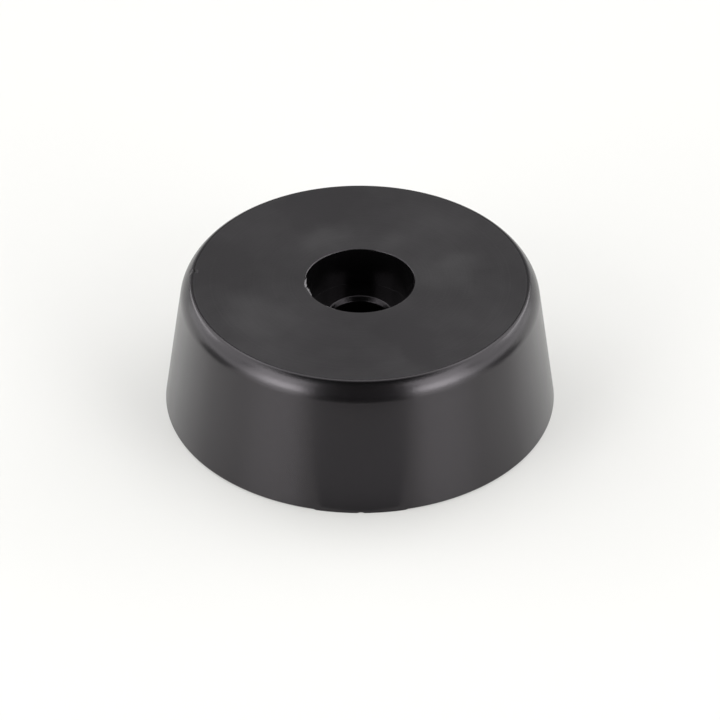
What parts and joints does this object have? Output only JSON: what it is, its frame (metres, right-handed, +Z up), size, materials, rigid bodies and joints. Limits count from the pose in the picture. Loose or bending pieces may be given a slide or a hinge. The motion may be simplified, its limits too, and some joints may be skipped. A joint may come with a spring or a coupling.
{
  "type": "plastic tapered foot",
  "caption": "Round tapered plastic foot with a rounded shoulder, a flat floor face and a screw hole with a head recess through its middle.",
  "frame": {"origin": "centre of the wide mounting face, which the foot stands on here", "axes": "+Z up the foot's axis, from the mounting face to the narrow floor face where the screw goes in"},
  "size_m": [0.0381, 0.038, 0.0137],
  "materials": {
    "foot_plastic": "satin black moulded plastic, matte on the flat floor face"
  },
  "bodies": {
    "root": {"foot": "foot_plastic"}
  },
  "joints": []
}
